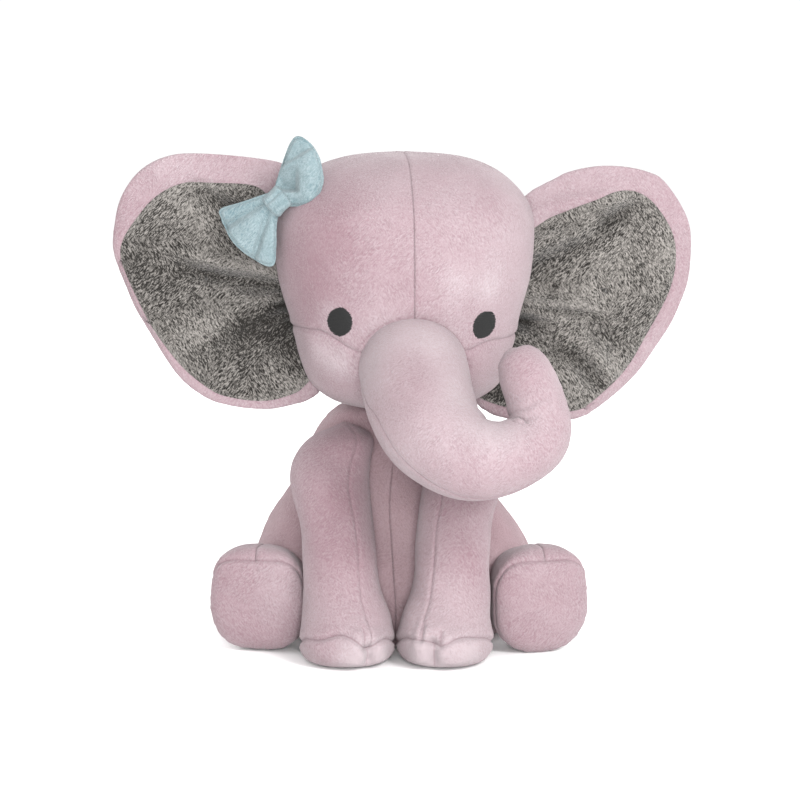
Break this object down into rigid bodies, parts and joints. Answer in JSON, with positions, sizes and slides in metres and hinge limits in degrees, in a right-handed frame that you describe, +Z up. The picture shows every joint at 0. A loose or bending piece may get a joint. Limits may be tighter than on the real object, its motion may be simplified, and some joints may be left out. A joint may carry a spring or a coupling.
{
  "type": "stuffed elephant toy",
  "caption": "Seated stuffed elephant with a curled trunk, large padded ears and a bow, sewn from short-pile panels over soft filling; head, trunk, ears, legs and tail bend.",
  "frame": {"origin": "centre of the flat seat panel's underside, which the toy sits on", "axes": "+Z up, -Y the way the face looks, +X the elephant's own left"},
  "size_m": [0.2895, 0.2448, 0.2569],
  "materials": {
    "pink_plush": "short pink pile, soft sheen",
    "body_plush": "short pink pile, a shade deeper",
    "grey_plush": "short warm grey pile with streaked nap",
    "bow_plush": "pale aqua pile, brushed",
    "eye_thread": "black satin-stitch thread",
    "fibre_filling": "loose white polyester fibre",
    "bag_cloth": "plain woven inner bag",
    "pellets": "small round plastic pellets",
    "label_cloth": "blank satin ribbon label"
  },
  "bodies": {
    "torso": {"chest_panel_left": "body_plush", "chest_panel_right": "body_plush", "back_panel_left": "body_plush", "back_panel_right": "body_plush", "seat_panel": "body_plush", "body_filling": "fibre_filling", "pellet_bag": "bag_cloth", "pellet_fill": "pellets", "care_label": "label_cloth"},
    "head": {"head_panel_left": "pink_plush", "head_panel_right": "pink_plush", "cheek_panel_left": "pink_plush", "cheek_panel_right": "pink_plush", "head_filling": "fibre_filling", "eye_left": "eye_thread", "eye_right": "eye_thread", "bow_loop_upper": "bow_plush", "bow_loop_lower": "bow_plush", "bow_knot": "bow_plush"},
    "trunk": {"trunk_top_panel": "pink_plush", "trunk_underside_panel": "pink_plush", "trunk_filling": "fibre_filling"},
    "ear_left": {"ear_back_left": "pink_plush", "ear_lining_left": "grey_plush", "ear_batting_left": "fibre_filling"},
    "ear_right": {"ear_back_right": "pink_plush", "ear_lining_right": "grey_plush", "ear_batting_right": "fibre_filling"},
    "front_leg_left": {"front_leg_outer_left": "pink_plush", "front_leg_inner_left": "pink_plush", "front_sole_left": "pink_plush", "front_filling_left": "fibre_filling"},
    "front_leg_right": {"front_leg_outer_right": "pink_plush", "front_leg_inner_right": "pink_plush", "front_sole_right": "pink_plush", "front_filling_right": "fibre_filling"},
    "hind_leg_left": {"hind_leg_outer_left": "pink_plush", "hind_leg_inner_left": "pink_plush", "hind_sole_left": "pink_plush", "hind_filling_left": "fibre_filling"},
    "hind_leg_right": {"hind_leg_outer_right": "pink_plush", "hind_leg_inner_right": "pink_plush", "hind_sole_right": "pink_plush", "hind_filling_right": "fibre_filling"},
    "tail": {"tail_cover": "pink_plush", "tail_tuft": "body_plush"}
  },
  "joints": [
    {"name": "head_nod", "type": "hinge", "parent": "torso", "child": "head", "pos_m": [0, -0.008, 0.1165], "axis": [1, 0, 0], "range_deg": [-12, 5], "stiffness_Nm_per_rad": 2.5},
    {"name": "trunk_swing", "type": "hinge", "parent": "head", "child": "trunk", "pos_m": [0.008, -0.076, 0.143], "axis": [1, 0, 0], "range_deg": [-14, 8], "stiffness_Nm_per_rad": 0.6},
    {"name": "ear_fold_left", "type": "hinge", "parent": "head", "child": "ear_left", "pos_m": [0.0762, -0.01166, 0.176], "axis": [0, 0, 1], "range_deg": [-38, 30], "stiffness_Nm_per_rad": 0.25},
    {"name": "ear_fold_right", "type": "hinge", "parent": "head", "child": "ear_right", "pos_m": [-0.06685, -0.02418, 0.184], "axis": [0, 0, 1], "range_deg": [-30, 8], "stiffness_Nm_per_rad": 0.25},
    {"name": "front_leg_swing_left", "type": "hinge", "parent": "torso", "child": "front_leg_left", "pos_m": [0.035, -0.0475, 0.095], "axis": [1, 0, 0], "range_deg": [-25, 0], "stiffness_Nm_per_rad": 0.4},
    {"name": "front_leg_swing_right", "type": "hinge", "parent": "torso", "child": "front_leg_right", "pos_m": [-0.035, -0.0475, 0.095], "axis": [1, 0, 0], "range_deg": [-25, 0], "stiffness_Nm_per_rad": 0.4},
    {"name": "hind_leg_splay_left", "type": "hinge", "parent": "torso", "child": "hind_leg_left", "pos_m": [0.064, -0.032, 0.0264], "axis": [0, 0, 1], "range_deg": [-3, 20], "stiffness_Nm_per_rad": 0.3},
    {"name": "hind_leg_splay_right", "type": "hinge", "parent": "torso", "child": "hind_leg_right", "pos_m": [-0.063, -0.03, 0.0264], "axis": [0, 0, 1], "range_deg": [-20, 0], "stiffness_Nm_per_rad": 0.3},
    {"name": "tail_swing", "type": "hinge", "parent": "torso", "child": "tail", "pos_m": [0, 0.0635, 0.034], "axis": [0, 0, 1], "range_deg": [-50, 50], "stiffness_Nm_per_rad": 0.05}
  ]
}
